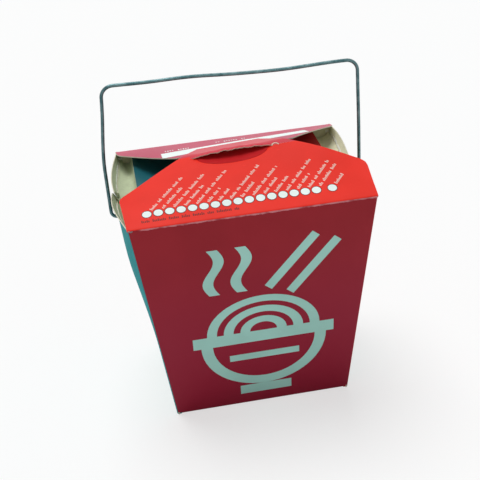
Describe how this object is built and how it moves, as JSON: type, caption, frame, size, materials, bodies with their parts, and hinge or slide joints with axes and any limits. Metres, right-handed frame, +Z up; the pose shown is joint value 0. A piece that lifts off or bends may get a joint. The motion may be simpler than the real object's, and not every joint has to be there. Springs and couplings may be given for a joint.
{
  "type": "noodle takeaway box",
  "caption": "Shut tapered takeaway pail of folded printed board, with side gussets, a low gable lid locked by a tongue, and a wire bail that swings.",
  "frame": {"origin": "middle of the base, on the surface the pail stands on", "axes": "+Z up, the front panel faces -Y, +X to the right of a viewer who faces the front panel"},
  "size_m": [0.1137, 0.08, 0.1548],
  "materials": {
    "board": "gloss-coated print outside, bare cream board inside",
    "wire": "drawn steel wire, dull"
  },
  "bodies": {
    "carton": {"carton": "board"},
    "bail": {"bail": "wire"}
  },
  "joints": [
    {"name": "bail_swing", "type": "hinge", "parent": "carton", "child": "bail", "pos_m": [0, -0.002, 0.094], "axis": [1, 0, 0], "range_deg": [-138, 143]}
  ]
}
